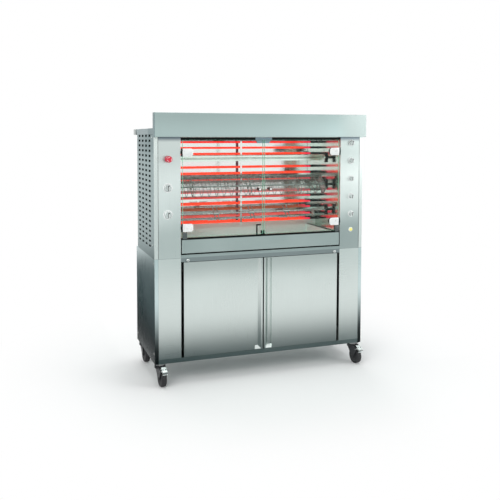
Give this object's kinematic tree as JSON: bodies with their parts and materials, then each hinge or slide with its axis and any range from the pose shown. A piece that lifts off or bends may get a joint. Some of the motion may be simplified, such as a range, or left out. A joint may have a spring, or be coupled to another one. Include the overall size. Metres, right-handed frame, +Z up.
{
  "type": "electric rotisserie oven on cabinet",
  "caption": "Free-standing electric rotisserie oven with glass doors, glowing tube elements, spits and drip tray, on a stainless cabinet with castors.",
  "frame": {"origin": "centre of the footprint of the whole object, on the floor", "axes": "+X to the right as the user sees it, +Y towards the back, +Z up"},
  "size_m": [1.408, 0.6868, 1.647],
  "materials": {
    "stainless": "brushed",
    "polished_steel": "polished",
    "galvanised": "spangled satin",
    "black_plastic": "moulded",
    "tyre": "matt",
    "glowing_element": "red hot tube",
    "glass": "clear toughened, green edge",
    "white_metal": "satin",
    "dark_metal": "satin",
    "knob_metal": "satin",
    "dial_ring": "satin",
    "red_plastic": "glossy",
    "amber_lens": "translucent",
    "spit_steel": "wire"
  },
  "bodies": {
    "root": {"cabinet_side_left": "stainless", "cabinet_side_right": "stainless", "cabinet_back": "stainless", "cabinet_floor": "stainless", "cabinet_top": "stainless", "cabinet_front_panels": "stainless", "oven_side_left": "stainless", "oven_side_right": "stainless", "oven_back": "stainless", "oven_base": "stainless", "oven_top_cover": "stainless", "control_panel_left": "stainless", "control_panel_right": "stainless", "hood_fascia": "stainless", "rear_spacer": "stainless", "chamber_liner": "polished_steel", "chamber_reflector": "polished_steel", "panel_screws": "polished_steel", "castor_plates": "galvanised", "gear_motors": "galvanised", "cable_gland": "black_plastic", "control_switches": "black_plastic", "heating_elements": "glowing_element", "door_hardware": "dark_metal", "spit_bearings": "dark_metal", "control_bezels": "dial_ring", "indicator_lamp": "amber_lens"},
    "cabinet_door_left": {"cabinet_door_left": "stainless"},
    "cabinet_door_right": {"cabinet_door_right": "stainless"},
    "glass_door_left": {"glass_door_left": "glass", "glass_fittings_left": "white_metal"},
    "glass_door_right": {"glass_door_right": "glass", "glass_fittings_right": "white_metal"},
    "drip_tray": {"drip_tray": "stainless"},
    "knob_left_upper": {"knob_left_upper": "knob_metal"},
    "knob_left_lower": {"knob_left_lower": "knob_metal"},
    "knob_right_1": {"knob_right_1": "knob_metal"},
    "knob_right_2": {"knob_right_2": "knob_metal"},
    "knob_right_3": {"knob_right_3": "knob_metal"},
    "knob_right_4": {"knob_right_4": "knob_metal"},
    "knob_right_5": {"knob_right_5": "knob_metal"},
    "estop_button": {"estop_button": "red_plastic"},
    "spit_upper": {"drive_coupling_upper": "dark_metal", "spit_blade": "spit_steel"},
    "spit_middle": {"drive_coupling_middle": "dark_metal", "spit_basket": "spit_steel", "basket_grilles": "spit_steel"},
    "spit_lower": {"drive_coupling_lower": "dark_metal", "spit_fork": "spit_steel"},
    "basket_lid": {"basket_lid": "spit_steel"},
    "castor_front_left": {"castor_fork_front_left": "black_plastic"},
    "wheel_front_left": {"castor_wheel_front_left": "tyre"},
    "brake_front_left": {"castor_brake_front_left": "galvanised"},
    "castor_front_right": {"castor_fork_front_right": "black_plastic"},
    "wheel_front_right": {"castor_wheel_front_right": "tyre"},
    "brake_front_right": {"castor_brake_front_right": "galvanised"},
    "castor_rear_left": {"castor_fork_rear_left": "black_plastic"},
    "wheel_rear_left": {"castor_wheel_rear_left": "tyre"},
    "castor_rear_right": {"castor_fork_rear_right": "black_plastic"},
    "wheel_rear_right": {"castor_wheel_rear_right": "tyre"}
  },
  "joints": [
    {"name": "cabinet_door_left_hinge", "type": "hinge", "parent": "root", "child": "cabinet_door_left", "pos_m": [-0.511, -0.26905, 0.454], "axis": [0, 0, -1], "range_deg": [0, 110]},
    {"name": "cabinet_door_right_hinge", "type": "hinge", "parent": "root", "child": "cabinet_door_right", "pos_m": [0.511, -0.26905, 0.454], "axis": [0, 0, 1], "range_deg": [0, 110]},
    {"name": "glass_door_left_hinge", "type": "hinge", "parent": "root", "child": "glass_door_left", "pos_m": [-0.532, -0.28205, 1.191], "axis": [0, 0, -1], "range_deg": [0, 110]},
    {"name": "glass_door_right_hinge", "type": "hinge", "parent": "root", "child": "glass_door_right", "pos_m": [0.532, -0.28205, 1.191], "axis": [0, 0, 1], "range_deg": [0, 110]},
    {"name": "drip_tray_slide", "type": "slide", "parent": "root", "child": "drip_tray", "axis": [0, -1, 0], "range_m": [0, 0.38]},
    {"name": "knob_left_upper_turn", "type": "hinge", "parent": "root", "child": "knob_left_upper", "pos_m": [-0.61606, -0.27905, 1.199], "axis": [0, 1, 0], "range_deg": [0, 300]},
    {"name": "knob_left_lower_turn", "type": "hinge", "parent": "root", "child": "knob_left_lower", "pos_m": [-0.61606, -0.27905, 1.038], "axis": [0, 1, 0], "range_deg": [0, 300]},
    {"name": "knob_right_1_turn", "type": "hinge", "parent": "root", "child": "knob_right_1", "pos_m": [0.61606, -0.27905, 1.465], "axis": [0, 1, 0], "range_deg": [0, 180]},
    {"name": "knob_right_2_turn", "type": "hinge", "parent": "root", "child": "knob_right_2", "pos_m": [0.61606, -0.27905, 1.349], "axis": [0, 1, 0], "range_deg": [0, 180]},
    {"name": "knob_right_3_turn", "type": "hinge", "parent": "root", "child": "knob_right_3", "pos_m": [0.61606, -0.27905, 1.233], "axis": [0, 1, 0], "range_deg": [0, 180]},
    {"name": "knob_right_4_turn", "type": "hinge", "parent": "root", "child": "knob_right_4", "pos_m": [0.61606, -0.27905, 1.1165], "axis": [0, 1, 0], "range_deg": [0, 180]},
    {"name": "knob_right_5_turn", "type": "hinge", "parent": "root", "child": "knob_right_5", "pos_m": [0.61606, -0.27905, 1.001], "axis": [0, 1, 0], "range_deg": [0, 180]},
    {"name": "estop_press", "type": "slide", "parent": "root", "child": "estop_button", "axis": [0, 1, 0], "range_m": [0, 0.006], "stiffness_N_per_m": 600},
    {"name": "spit_upper_turn", "type": "hinge", "parent": "root", "child": "spit_upper", "pos_m": [0, -0.03905, 1.364], "axis": [1, 0, 0], "continuous": true},
    {"name": "spit_middle_turn", "type": "hinge", "parent": "root", "child": "spit_middle", "pos_m": [0, -0.03905, 1.181], "axis": [1, 0, 0], "continuous": true},
    {"name": "spit_lower_turn", "type": "hinge", "parent": "root", "child": "spit_lower", "pos_m": [0, -0.03905, 1.007], "axis": [1, 0, 0], "continuous": true},
    {"name": "basket_lid_hinge", "type": "hinge", "parent": "spit_middle", "child": "basket_lid", "pos_m": [0.015, -0.10445, 1.15926], "axis": [1, 0, 0], "range_deg": [0, 100]},
    {"name": "castor_front_left_swivel", "type": "hinge", "parent": "root", "child": "castor_front_left", "pos_m": [-0.66, -0.23905, 0.1217], "axis": [0, 0, 1], "continuous": true},
    {"name": "wheel_front_left_roll", "type": "hinge", "parent": "castor_front_left", "child": "wheel_front_left", "pos_m": [-0.65669, -0.27691, 0.05], "axis": [0.9962, 0.0872, 0], "continuous": true},
    {"name": "brake_front_left_press", "type": "hinge", "parent": "castor_front_left", "child": "brake_front_left", "pos_m": [-0.6539, -0.30878, 0.101], "axis": [0.9962, 0.0872, 0], "range_deg": [0, 12]},
    {"name": "castor_front_right_swivel", "type": "hinge", "parent": "root", "child": "castor_front_right", "pos_m": [0.66, -0.23905, 0.1217], "axis": [0, 0, 1], "continuous": true},
    {"name": "wheel_front_right_roll", "type": "hinge", "parent": "castor_front_right", "child": "wheel_front_right", "pos_m": [0.66331, -0.27691, 0.05], "axis": [0.9962, 0.0872, 0], "continuous": true},
    {"name": "brake_front_right_press", "type": "hinge", "parent": "castor_front_right", "child": "brake_front_right", "pos_m": [0.6661, -0.30878, 0.101], "axis": [0.9962, 0.0872, 0], "range_deg": [0, 12]},
    {"name": "castor_rear_left_swivel", "type": "hinge", "parent": "root", "child": "castor_rear_left", "pos_m": [-0.66, 0.22795, 0.1217], "axis": [0, 0, 1], "continuous": true},
    {"name": "wheel_rear_left_roll", "type": "hinge", "parent": "castor_rear_left", "child": "wheel_rear_left", "pos_m": [-0.65669, 0.19009, 0.05], "axis": [0.9962, 0.0872, 0], "continuous": true},
    {"name": "castor_rear_right_swivel", "type": "hinge", "parent": "root", "child": "castor_rear_right", "pos_m": [0.66, 0.22795, 0.1217], "axis": [0, 0, 1], "continuous": true},
    {"name": "wheel_rear_right_roll", "type": "hinge", "parent": "castor_rear_right", "child": "wheel_rear_right", "pos_m": [0.66331, 0.19009, 0.05], "axis": [0.9962, 0.0872, 0], "continuous": true}
  ]
}
